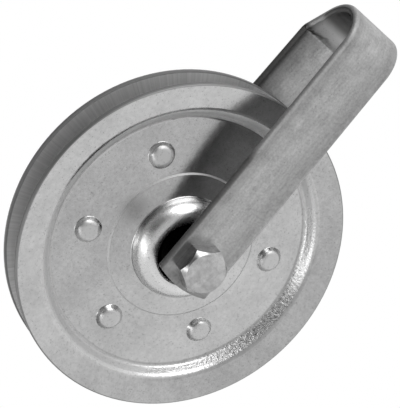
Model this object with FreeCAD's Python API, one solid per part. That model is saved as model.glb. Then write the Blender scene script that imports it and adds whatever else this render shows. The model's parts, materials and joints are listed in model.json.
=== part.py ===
import FreeCAD, Part
import math
import os

# Garage door cable pulley: two pressed sheave halves on a full row of balls, bolted in a bent strap fork.
# Millimetres and degrees. The origin is the middle of the rim on the axle line, and +Z points to the
# fork's loop. The front, where the bolt head is, faces -Y: "front" distances run from the middle of the
# rim towards the bolt head.

# Pressed sheave halves
RIM_RADIUS = 50.8
RIM_WIDTH = 13.9
SHEET = 2.2
FLANGE_HEIGHT = 8.4
FLANGE_FLARE = 10.0
WALL_SLOPE = 53.5
WALL_BEND = 0.8
WALL_FOOT_BEND = 1.8
WEB_DISH = 4.0
BOSS_RADIUS = 22.3
BOSS_HEIGHT = 0.3
BOSS_RUN = 0.55
BOSS_BEND = 0.3
CONE_SLOPE = 6.5
DOME_FOOT_BEND = 0.45
MOUTH_ROUND = 1.0
TRIM_ROUND = 0.4

# Clinch buttons that hold the two halves together
BUTTON_COUNT = 6
BUTTON_FIRST_ANGLE = 24.5
BUTTON_ACROSS_WEB = 0.394
BUTTON_BASE_RADIUS = 4.05
BUTTON_TOP_RADIUS = 2.8
BUTTON_HEIGHT = 1.9
BUTTON_FOOT_BEND = 0.35
BUTTON_ROUND = 1.7
BUTTON_SINK = 0.03
CLINCH_PIT_RADIUS = 1.7
CLINCH_PIT_DEPTH = 4.2
CLINCH_WALL = 0.8
CLINCH_DRAFT = 6.0
CLINCH_CLEARANCE = 0.05
PUNCH_OVERRUN = 0.3

# Ball bearing, in the middle of the hub
BALL_DIAMETER = 5.556
BALL_CLEARANCE = 0.08
BALL_SPACING = 0.05
INNER_RACE_WALL = 2.24
OUTER_RACE_WALL = 1.45
RACE_SHOULDER = 1.4
OUTER_RACE_WIDTH = 9.6
RACE_SEAT_CLEARANCE = 0.03
HUB_OFFSET = 3.0
HUB_MOUTH_GAP = 1.6

# Strap fork
STRAP_WIDTH = 19.05
STRAP_THICKNESS = 2.4
STRAP_EDGE = 1.1
RIM_CLEARANCE = 0.35
FRONT_ROOM = 0.8
HOOK_ROOM = 31.7
LOOP_BEND = 8.0
KINK_ANGLE = 35.0
KINK_BEND = 1.5
LEG_LEAN = 1.6
KNEE_HEIGHT = 10.0
KNEE_BEND = 20.0
LEG_TAIL = 8.5
LEG_END_RADIUS = 26.0

# Axle bolt and nut
BOLT_DIAMETER = 7.94
BOLT_CLEARANCE = 0.13
BOLT_POINT = 1.0
HEX_SIDES = 6
HEX_FLATS = 12.7
HEX_CHAMFER = 0.4
HEAD_CHAMFER_SLOPE = 52.0
HEAD_HEIGHT = 5.9
NUT_HEIGHT = 6.75
NUT_CHAMFER_SLOPE = 30.0
NUT_COUNTERSINK = 0.6
THREAD_CLEARANCE = 0.05
BOLT_PAST_NUT = 3.65

AXLE = FreeCAD.Vector(0, 1, 0)
ORIGIN = FreeCAD.Vector(0, 0, 0)
FULL_TURN = 360.0
SHORTEST_RUN = 1e-5


def tangent(degrees):
    """Tangent of an angle in degrees."""
    return math.tan(math.radians(degrees))


# Sizes that follow from the driving ones
ball_radius = BALL_DIAMETER / 2
bolt_radius = BOLT_DIAMETER / 2
axle_bore = bolt_radius + BOLT_CLEARANCE
inner_groove = axle_bore + INNER_RACE_WALL
ball_circle = inner_groove + BALL_CLEARANCE + ball_radius
outer_groove = ball_circle + ball_radius + BALL_CLEARANCE
outer_race_radius = outer_groove + OUTER_RACE_WALL
outer_shoulder = outer_groove - RACE_SHOULDER
inner_shoulder = inner_groove + RACE_SHOULDER
hub_mouth = inner_shoulder + HUB_MOUTH_GAP
race_front = HUB_OFFSET + OUTER_RACE_WIDTH / 2
race_rear = HUB_OFFSET - OUTER_RACE_WIDTH / 2

# The web is dished towards the front, so its face is a little further from the joint than the sheet is thick
web_face = SHEET / math.cos(math.radians(WEB_DISH))
flange_foot = RIM_RADIUS - FLANGE_HEIGHT
flange_foot_depth = RIM_WIDTH / 2 - FLANGE_HEIGHT * tangent(FLANGE_FLARE)
web_edge = flange_foot - (flange_foot_depth - web_face) / tangent(WALL_SLOPE)
boss_foot = BOSS_RADIUS + BOSS_RUN
boss_rise = (web_edge - boss_foot) * tangent(WEB_DISH)

dome_radius = outer_race_radius + RACE_SEAT_CLEARANCE + SHEET
dome_crest = race_front + SHEET
boss_face = web_face + boss_rise + BOSS_HEIGHT
cone_top = boss_face + (BOSS_RADIUS - dome_radius) * tangent(CONE_SLOPE)
dome_foot_length = DOME_FOOT_BEND * tangent((90 - CONE_SLOPE) / 2)
race_face = outer_race_radius - outer_shoulder
race_corner = min(dome_crest - cone_top - dome_foot_length - SHEET, race_face)

button_circle = boss_foot + (web_edge - boss_foot) * BUTTON_ACROSS_WEB
button_rise = (web_edge - button_circle) * tangent(WEB_DISH)
clinch_top = CLINCH_PIT_DEPTH - SHEET + CLINCH_WALL
clinch_radius = CLINCH_PIT_RADIUS - SHEET * tangent(CLINCH_DRAFT) + CLINCH_WALL

# The legs are parallel at the axle and lean in above the knee, so the rim sets how far apart they start
lean = math.radians(LEG_LEAN)
fork_half_gap = HUB_OFFSET + RIM_WIDTH / 2 + RIM_CLEARANCE + (RIM_RADIUS - KNEE_HEIGHT) * math.tan(lean)
fork_front = HUB_OFFSET + fork_half_gap + FRONT_ROOM
fork_rear = HUB_OFFSET - fork_half_gap
loop_top = RIM_RADIUS + HOOK_ROOM
loop_height = loop_top - LOOP_BEND
loop_front = fork_front - (LOOP_BEND + (loop_height - KNEE_HEIGHT) * math.sin(lean)) / math.cos(lean)
strap_front = fork_front + STRAP_THICKNESS
strap_rear = fork_rear - STRAP_THICKNESS


def on_section(radius, front):
    """Point of the cross-section at a radius from the axle."""
    return FreeCAD.Vector(radius, -front, 0)


def crown(bend):
    """Face and back radius of a bend whose inside is on the back of the sheet."""
    return bend + SHEET, bend


def hollow(bend):
    """Face and back radius of a bend whose inside is on the face of the sheet."""
    return bend, bend + SHEET


def coined(bend):
    """Face and back radius of a corner that is struck sharp on both sides."""
    return bend, bend


def rounded_face(corners):
    """Face inside a closed outline of (point, corner radius) pairs, each radius limited by its runs."""
    points = [point for point, radius in corners]
    count = len(points)
    along = [(points[(i + 1) % count] - points[i]) for i in range(count)]
    lengths = [run.Length for run in along]
    ways = [FreeCAD.Vector(run).normalize() for run in along]
    half_turns = [ways[i - 1].getAngle(ways[i]) / 2 for i in range(count)]
    setbacks = [corners[i][1] * math.tan(half_turns[i]) for i in range(count)]
    wanted = [setbacks[i] + setbacks[(i + 1) % count] for i in range(count)]
    room = [min(1.0, lengths[i] / max(wanted[i], SHORTEST_RUN)) for i in range(count)]
    setbacks = [setbacks[i] * min(room[i - 1], room[i]) for i in range(count)]
    starts = [points[i] - ways[i - 1] * setbacks[i] for i in range(count)]
    ends = [points[i] + ways[i] * setbacks[i] for i in range(count)]
    edges = []
    for i in range(count):
        if setbacks[i] > SHORTEST_RUN:
            inward = (ways[i] - ways[i - 1]).normalize()
            depth = setbacks[i] * (1 / math.sin(half_turns[i]) - 1 / math.tan(half_turns[i]))
            edges.append(Part.Arc(starts[i], points[i] + inward * depth, ends[i]).toShape())
        after = starts[(i + 1) % count]
        if ends[i].distanceToPoint(after) > SHORTEST_RUN:
            edges.append(Part.LineSegment(ends[i], after).toShape())
    return Part.Face(Part.Wire(edges))


def turned(corners):
    """Solid turned about the axle from (radius, front, corner radius) corners."""
    face = rounded_face([(on_section(radius, front), bend) for radius, front, bend in corners])
    return face.revolve(ORIGIN, AXLE, FULL_TURN)


def back_path(path):
    """Points one sheet thickness behind a path of (radius, depth) points that runs towards the axle."""
    runs = []
    for (radius_a, depth_a), (radius_b, depth_b) in zip(path, path[1:]):
        way = FreeCAD.Vector(radius_b - radius_a, depth_b - depth_a, 0).normalize()
        behind = FreeCAD.Vector(-way.y, way.x, 0) * SHEET
        runs.append((FreeCAD.Vector(radius_a, depth_a, 0) + behind, way))

    def at_radius(run, radius):
        start, way = run
        return radius, start.y + way.y * (radius - start.x) / way.x

    def crossing(run_a, run_b):
        (start_a, way_a), (start_b, way_b) = run_a, run_b
        gap = start_b - start_a
        reach = (gap.x * way_b.y - gap.y * way_b.x) / (way_a.x * way_b.y - way_a.y * way_b.x)
        meeting = start_a + way_a * reach
        return meeting.x, meeting.y

    middle = [crossing(run_a, run_b) for run_a, run_b in zip(runs, runs[1:])]
    return [at_radius(runs[0], path[0][0])] + middle + [at_radius(runs[-1], path[-1][0])]


def pressed_half(hub, facing):
    """Sheet pressing turned about the axle: flange, groove wall and web, then the given hub.

    hub holds (radius, depth, (face bend, back bend)) points; facing is 1 for the front half, -1 for the rear.
    """
    rim = [
        (RIM_RADIUS, RIM_WIDTH / 2, coined(TRIM_ROUND)),
        (flange_foot, flange_foot_depth, crown(WALL_BEND)),
        (web_edge, web_face, hollow(WALL_FOOT_BEND)),
    ]
    path = rim + hub
    face_points = [(radius, depth) for radius, depth, bends in path]
    face_bends = [bends[0] for radius, depth, bends in path]
    back_bends = [bends[1] for radius, depth, bends in path]
    outline = list(zip(face_points, face_bends))
    outline += reversed(list(zip(back_path(face_points), back_bends)))
    return turned([(radius, facing * depth, bend) for (radius, depth), bend in outline])


def around_button(corners):
    """Solid turned about a button's own axis, square to the dished web, from (radius, front, corner radius).

    Front distances run from the joint between the two sheets.
    """
    solid = turned(corners)
    solid.rotate(ORIGIN, FreeCAD.Vector(0, 0, 1), WEB_DISH)
    solid.translate(on_section(button_circle, button_rise))
    return solid


def button_ring(solid):
    """Copies of a solid at every button of the ring."""
    copies = []
    for number in range(BUTTON_COUNT):
        copy = solid.copy()
        angle = BUTTON_FIRST_ANGLE + number * FULL_TURN / BUTTON_COUNT
        copy.rotate(ORIGIN, AXLE, -angle)
        copies.append(copy)
    return copies


def clinch_plug(start, end, radius_at_start):
    """Slightly tapered plug along a button's axis, narrower towards the front."""
    radius_at_end = radius_at_start - (end - start) * tangent(CLINCH_DRAFT)
    return around_button([(0, start, 0), (radius_at_start, start, 0), (radius_at_end, end, 0), (0, end, 0)])


def front_sheave_half():
    """Front pressing: boss step, cone and the dome over the bearing, with the raised buttons."""
    hub = [
        (boss_foot, web_face + boss_rise, hollow(BOSS_BEND)),
        (BOSS_RADIUS, boss_face, coined(BOSS_BEND)),
        (dome_radius, cone_top, hollow(DOME_FOOT_BEND)),
        (dome_radius, dome_crest, crown(race_corner)),
        (hub_mouth, dome_crest, coined(MOUTH_ROUND)),
    ]
    half = pressed_half(hub, 1)
    top = SHEET + BUTTON_HEIGHT
    foot = SHEET - BUTTON_SINK
    brim = BUTTON_BASE_RADIUS + BUTTON_FOOT_BEND
    button = around_button([
        (0, SHEET / 2, 0),
        (brim, SHEET / 2, 0),
        (brim, foot, 0),
        (BUTTON_BASE_RADIUS, foot, BUTTON_FOOT_BEND),
        (BUTTON_TOP_RADIUS, top, BUTTON_ROUND),
        (0, top, 0),
    ])
    socket_depth = clinch_top + CLINCH_CLEARANCE
    socket = clinch_plug(-PUNCH_OVERRUN, socket_depth, clinch_radius + CLINCH_CLEARANCE)
    return half.fuse(button_ring(button)).cut(button_ring(socket)).removeSplitter()


def rear_sheave_half():
    """Rear pressing: a plain raised hub behind the bearing, with the clinched metal drawn forward."""
    hub_depth = SHEET - race_rear
    hub = [
        (boss_foot, web_face - boss_rise, hollow(BOSS_BEND)),
        (BOSS_RADIUS, hub_depth, coined(BOSS_BEND)),
        (hub_mouth, hub_depth, coined(TRIM_ROUND)),
    ]
    half = pressed_half(hub, -1)
    plug = clinch_plug(-SHEET / 2, clinch_top, clinch_radius + SHEET / 2 * tangent(CLINCH_DRAFT))
    pit = clinch_plug(-SHEET - PUNCH_OVERRUN, CLINCH_PIT_DEPTH - SHEET, CLINCH_PIT_RADIUS)
    return half.fuse(button_ring(plug)).cut(button_ring(pit)).removeSplitter()


def ball_track():
    """Ring that the balls sweep, with their clearance."""
    ring = Part.makeTorus(ball_circle, ball_radius + BALL_CLEARANCE, ORIGIN, AXLE)
    ring.translate(on_section(0, HUB_OFFSET))
    return ring


def outer_race():
    """Turned ring that nests in the dome and carries the wheel on the balls."""
    ring = turned([
        (outer_shoulder, race_rear, 0),
        (outer_race_radius, race_rear, 0),
        (outer_race_radius, race_front, race_corner),
        (outer_shoulder, race_front, 0),
    ])
    return ring.cut(ball_track())


def inner_race():
    """Turned sleeve clamped between the fork's legs, with the inner ball groove round its middle."""
    collar = inner_groove
    sleeve = turned([
        (axle_bore, fork_rear, 0),
        (collar, fork_rear, 0),
        (collar, race_rear, 0),
        (inner_shoulder, race_rear, 0),
        (inner_shoulder, race_front, 0),
        (collar, race_front, 0),
        (collar, fork_front, 0),
        (axle_bore, fork_front, 0),
    ])
    return sleeve.cut(ball_track())


def balls():
    """Full row of loose balls, as many as the ball circle takes."""
    pitch_angle = 2 * math.asin((ball_radius + BALL_SPACING / 2) / ball_circle)
    count = int(2 * math.pi / pitch_angle)
    row = []
    for number in range(count):
        angle = 2 * math.pi * number / count
        x = ball_circle * math.cos(angle)
        z = ball_circle * math.sin(angle)
        row.append(Part.makeSphere(ball_radius, FreeCAD.Vector(x, -HUB_OFFSET, z), AXLE))
    return row


def upright(degrees):
    """Upward direction in the side view that leans towards the rear by an angle."""
    return FreeCAD.Vector(0, math.sin(math.radians(degrees)), math.cos(math.radians(degrees)))


def strap_steps():
    """Straight runs of the strap's inner face, each with the radius and the angle of the bend after it.

    They lead up the front leg, round the loop, down its flat shoulder and the rear leg.
    """
    front_leg = upright(LEG_LEAN)
    shoulder = upright(-LEG_LEAN - KINK_ANGLE)
    rear_leg = upright(-LEG_LEAN)
    front_inside = FreeCAD.Vector(0, front_leg.z, -front_leg.y)
    shoulder_inside = FreeCAD.Vector(0, -shoulder.z, shoulder.y)
    rear_inside = FreeCAD.Vector(0, -rear_leg.z, rear_leg.y)
    front_knee = FreeCAD.Vector(0, -fork_front, KNEE_HEIGHT)
    rear_knee = FreeCAD.Vector(0, -fork_rear, KNEE_HEIGHT)
    loop_centre = FreeCAD.Vector(0, -loop_front, loop_height)
    loop_start = loop_centre - front_inside * LOOP_BEND
    loop_end = loop_centre - shoulder_inside * LOOP_BEND
    shoulder_length = (loop_end - rear_knee).dot(rear_inside) / shoulder.dot(rear_inside)
    kink = loop_end - shoulder * shoulder_length
    knee_setback = KNEE_BEND * math.tan(lean / 2)
    kink_setback = KINK_BEND * tangent(KINK_ANGLE / 2)
    pad_length = LEG_TAIL + KNEE_HEIGHT - knee_setback
    front_length = (loop_start - front_knee).dot(front_leg) - knee_setback
    rear_length = (kink - rear_knee).dot(rear_leg) - kink_setback - knee_setback
    loop_angle = FULL_TURN / 2 - 2 * LEG_LEAN - KINK_ANGLE
    return [
        (pad_length, KNEE_BEND, LEG_LEAN),
        (front_length, LOOP_BEND, loop_angle),
        (shoulder_length - kink_setback, KINK_BEND, KINK_ANGLE),
        (rear_length, KNEE_BEND, LEG_LEAN),
        (pad_length, 0, 0),
    ]


def bent_strap():
    """Flat strap with rounded edges, laid along its runs and bends."""
    half_width = STRAP_WIDTH / 2
    section = rounded_face([
        (FreeCAD.Vector(-half_width, -strap_front, -LEG_TAIL), STRAP_EDGE),
        (FreeCAD.Vector(half_width, -strap_front, -LEG_TAIL), STRAP_EDGE),
        (FreeCAD.Vector(half_width, -fork_front, -LEG_TAIL), STRAP_EDGE),
        (FreeCAD.Vector(-half_width, -fork_front, -LEG_TAIL), STRAP_EDGE),
    ])
    bend_axis = FreeCAD.Vector(-1, 0, 0)
    inner = FreeCAD.Vector(0, -fork_front, -LEG_TAIL)
    way = upright(0)
    pieces = []
    for length, bend, angle in strap_steps():
        pieces.append(section.extrude(way * length))
        section.translate(way * length)
        inner += way * length
        if angle:
            inside = FreeCAD.Vector(0, way.z, -way.y)
            centre = inner + inside * bend
            pieces.append(section.revolve(centre, bend_axis, angle))
            section.rotate(centre, bend_axis, angle)
            turn = FreeCAD.Rotation(bend_axis, angle)
            inner = centre + turn.multVec(inner - centre)
            way = turn.multVec(way)
    return pieces[0].fuse(pieces[1:]).removeSplitter()


def fork_strap():
    """Strap bent into a fork, its two ends cut round and drilled for the axle."""
    strap = bent_strap()
    half_width = STRAP_WIDTH / 2
    corner_height = LEG_END_RADIUS - math.sqrt(LEG_END_RADIUS ** 2 - half_width ** 2) - LEG_TAIL
    top = loop_top + 2 * STRAP_THICKNESS
    behind = STRAP_THICKNESS - strap_rear
    left = FreeCAD.Vector(-half_width, behind, corner_height)
    middle = FreeCAD.Vector(0, behind, -LEG_TAIL)
    right = FreeCAD.Vector(half_width, behind, corner_height)
    right_top = FreeCAD.Vector(half_width, behind, top)
    left_top = FreeCAD.Vector(-half_width, behind, top)
    outline = Part.Wire([
        Part.Arc(left, middle, right).toShape(),
        Part.LineSegment(right, right_top).toShape(),
        Part.LineSegment(right_top, left_top).toShape(),
        Part.LineSegment(left_top, left).toShape(),
    ])
    depth = strap_front - strap_rear + 2 * STRAP_THICKNESS
    blank = Part.Face(outline).extrude(FreeCAD.Vector(0, -depth, 0))
    hole = Part.makeCylinder(axle_bore, depth, FreeCAD.Vector(0, behind, 0), -AXLE)
    return strap.common(blank).cut(hole)


def hexagon(start, end):
    """Hexagonal bar along the axle between two front distances, with two flats along the strap."""
    half_side_angle = math.pi / HEX_SIDES
    corner_radius = HEX_FLATS / 2 / math.cos(half_side_angle)
    corners = []
    for number in range(HEX_SIDES):
        angle = half_side_angle * (2 * number + 1)
        across = corner_radius * math.cos(angle)
        along = corner_radius * math.sin(angle)
        corners.append(FreeCAD.Vector(across, -start, along))
    outline = Part.makePolygon(corners + corners[:1])
    return Part.Face(outline).extrude(FreeCAD.Vector(0, start - end, 0))


def chamfered_end(seat, end, slope):
    """Turned blank that takes the corners off a hexagon at its outer end."""
    way = math.copysign(1, end - seat)
    wide = HEX_FLATS
    circle = HEX_FLATS / 2 - HEX_CHAMFER
    fall = (wide - circle) * tangent(slope)
    return turned([
        (0, seat - way * fall, 0),
        (wide, seat - way * fall, 0),
        (wide, end - way * fall, 0),
        (circle, end, 0),
        (0, end, 0),
    ])


def axle_bolt():
    """Hexagon bolt through both legs, its head on the front one."""
    head_top = strap_front + HEAD_HEIGHT
    blank = chamfered_end(strap_front, head_top, HEAD_CHAMFER_SLOPE)
    head = hexagon(strap_front, head_top).common(blank)
    end = strap_rear - NUT_HEIGHT - BOLT_PAST_NUT
    shank = turned([
        (0, end, 0),
        (bolt_radius - BOLT_POINT, end, 0),
        (bolt_radius, end + BOLT_POINT, 0),
        (bolt_radius, strap_front + HEAD_HEIGHT / 2, 0),
        (0, strap_front + HEAD_HEIGHT / 2, 0),
    ])
    return head.fuse(shank).removeSplitter()


def axle_nut():
    """Hexagon nut that closes the fork on the inner race, behind the rear leg."""
    outer = strap_rear - NUT_HEIGHT
    bore = bolt_radius + THREAD_CLEARANCE
    mouth = bore + NUT_COUNTERSINK
    hole = turned([
        (0, strap_rear, 0),
        (mouth, strap_rear, 0),
        (bore, strap_rear - NUT_COUNTERSINK, 0),
        (bore, outer + NUT_COUNTERSINK, 0),
        (mouth, outer, 0),
        (0, outer, 0),
    ])
    nut = hexagon(strap_rear, outer)
    for seat, end in ((strap_rear, outer), (outer, strap_rear)):
        nut = nut.common(chamfered_end(seat, end, NUT_CHAMFER_SLOPE))
    return nut.cut(hole)


def main():
    """Build every piece and write each to its own file."""
    os.makedirs("parts", exist_ok=True)
    pieces = {
        "front_sheave_half": front_sheave_half(),
        "rear_sheave_half": rear_sheave_half(),
        "outer_race": outer_race(),
        "inner_race": inner_race(),
        "fork_strap": fork_strap(),
        "axle_bolt": axle_bolt(),
        "axle_nut": axle_nut(),
    }
    for number, ball in enumerate(balls(), start=1):
        pieces["ball_%02d" % number] = ball
    for name, shape in pieces.items():
        print(name, len(shape.Solids), shape.isValid(), round(shape.Volume, 1))
        shape.exportStep("parts/%s.step" % name)


main()
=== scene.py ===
"""Garage door pulley: finishes, bolt thread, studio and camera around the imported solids.

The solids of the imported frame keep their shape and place. This script gives each one its finish,
draws the axle bolt again with its rolled thread, and sets the light and the camera.
"""

import json
import logging
import math
from collections.abc import Callable
from dataclasses import dataclass, field
from enum import Enum
from functools import partial

import bmesh
import bpy
from mathutils import Matrix, Vector


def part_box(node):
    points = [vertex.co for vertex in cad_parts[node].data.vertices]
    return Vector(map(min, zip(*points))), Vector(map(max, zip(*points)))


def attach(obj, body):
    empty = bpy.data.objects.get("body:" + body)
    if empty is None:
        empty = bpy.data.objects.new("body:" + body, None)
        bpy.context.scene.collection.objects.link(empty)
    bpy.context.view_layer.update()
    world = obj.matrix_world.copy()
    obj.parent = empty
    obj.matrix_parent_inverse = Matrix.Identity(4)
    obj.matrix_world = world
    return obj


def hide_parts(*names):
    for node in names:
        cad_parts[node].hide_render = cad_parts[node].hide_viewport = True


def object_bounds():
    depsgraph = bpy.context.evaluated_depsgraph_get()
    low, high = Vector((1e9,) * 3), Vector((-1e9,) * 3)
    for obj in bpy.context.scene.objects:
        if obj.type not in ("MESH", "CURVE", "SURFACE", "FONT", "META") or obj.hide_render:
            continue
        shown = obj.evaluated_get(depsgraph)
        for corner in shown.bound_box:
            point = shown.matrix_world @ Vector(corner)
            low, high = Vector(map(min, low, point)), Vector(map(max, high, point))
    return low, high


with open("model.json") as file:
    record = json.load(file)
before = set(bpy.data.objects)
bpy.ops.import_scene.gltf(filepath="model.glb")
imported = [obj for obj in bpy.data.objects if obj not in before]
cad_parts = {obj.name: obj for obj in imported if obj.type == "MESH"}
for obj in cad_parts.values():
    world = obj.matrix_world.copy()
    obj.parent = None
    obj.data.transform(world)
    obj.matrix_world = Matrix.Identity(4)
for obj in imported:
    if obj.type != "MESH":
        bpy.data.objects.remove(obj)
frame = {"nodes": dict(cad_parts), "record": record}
cad_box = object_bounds()

LOG = logging.getLogger("pulley")
MM = 0.001
IMAGE_WIDTH = 400
IMAGE_HEIGHT = 408
WHITE = "#FFFFFF"
NOISE_MEAN = 0.5
CLOUDY_NOISE = {"Detail": 3.0, "Roughness": 0.6}
SCRATCHY_NOISE = {"Detail": 4.0, "Roughness": 0.7}

Socket = bpy.types.NodeSocket
Adder = Callable[..., bpy.types.bpy_prop_collection]
Span = tuple[float, float]


class Body(Enum):
    """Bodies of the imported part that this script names."""

    FORK = "fork"
    BALL_ROW = "ball_row"


class Slot(Enum):
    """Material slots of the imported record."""

    FASTENER = "fastener_steel"


class Form(Enum):
    """Forms of the pressed sheet that wear their own finish."""

    STRUCK = "struck up from the web"
    BUTTON = "clinch button"
    BUTTON_TOP = "top of a button"
    BOSS = "boss step"
    WALL = "drawn wall"
    LAIN_WALL = "wall that the part has lain on"
    KNOCKED_WALL = "knocked middle of that wall"
    CREASE = "foot of the wall"
    GROOVE = "cable groove"
    RIM = "sheared rim"
    # A dark patch painted beside the hub.
    SMUDGE = "grease beside the hub"


class Stretch(Enum):
    """Stretches of the bent bar that wear their own finish."""

    REAR = "rear leg"
    LEFT = "left edge"
    FRONT_LEFT = "front leg's left margin"
    TIP = "left edge's round"
    RIGHT = "right half"
    BLOOM = "bloom and outwards"
    PAST_BLOOM = "past the bloom"
    END = "leg's end"
    LOW = "beside the wheel"
    HIGH = "above the wheel"
    SHOULDER = "above the kink"
    ABOVE_MARK = "mark at the kink and upwards"
    BELOW_MARK = "mark at the kink and downwards"
    ALONG_MARK = "length of the mark"
    INSIDE_LOOP = "loop's inner skin"
    UP_LOOP = "loop's upper part"


Forms = dict[Form, Socket]
Stretches = dict[Stretch, Socket]


def linear(code: str) -> tuple[float, float, float, float]:
    """Turns an sRGB hex colour into linear colour for a shader socket.

    Args:
        code: Colour as a hash sign and six hex digits.

    Returns:
        Red, green, blue and an alpha of one.
    """
    levels = [int(code[place:place + 2], 16) / 255 for place in (1, 3, 5)]
    red, green, blue = (
        level / 12.92 if level <= 0.04045 else ((level + 0.055) / 1.055) ** 2.4
        for level in levels
    )
    return red, green, blue, 1.0


def per_metre(size_mm: float) -> float:
    """Gives the texture scale at which one feature is as wide as a size in millimetres."""
    return 1 / (size_mm * MM)


def add_node(
    tree: bpy.types.NodeTree, kind: str, inputs: dict | None = None, **settings
) -> bpy.types.bpy_prop_collection:
    """Adds a shader node with its settings, values and links.

    Args:
        tree: Node tree that takes the node.
        kind: Blender's name for the kind of node.
        inputs: Socket name or number, with its value or the output socket that feeds it.
        settings: Attributes of the node, such as operation.

    Returns:
        The new node's output sockets.
    """
    node = tree.nodes.new(kind)
    for name, value in settings.items():
        setattr(node, name, value)
    for socket, value in (inputs or {}).items():
        if isinstance(value, Socket):
            tree.links.new(value, node.inputs[socket])
        else:
            node.inputs[socket].default_value = value
    return node.outputs


def empty_material(name: str) -> tuple[bpy.types.Material, Adder]:
    """Makes a material with no nodes in it.

    Args:
        name: Name of the material.

    Returns:
        The material and the function that adds a node to its tree.
    """
    material = bpy.data.materials.new(name)
    material.use_nodes = True
    material.node_tree.nodes.clear()
    return material, partial(add_node, material.node_tree)


def add_piece(name: str, shape: bmesh.types.BMesh, material: bpy.types.Material) -> bpy.types.Object:
    """Adds an object to the scene.

    Args:
        name: Name of the object and its mesh.
        shape: Its shape, which is freed.
        material: Its only material.

    Returns:
        The new object.
    """
    mesh = bpy.data.meshes.new(name)
    shape.to_mesh(mesh)
    shape.free()
    mesh.materials.append(material)
    piece = bpy.data.objects.new(name, mesh)
    bpy.context.scene.collection.objects.link(piece)
    return piece


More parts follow.
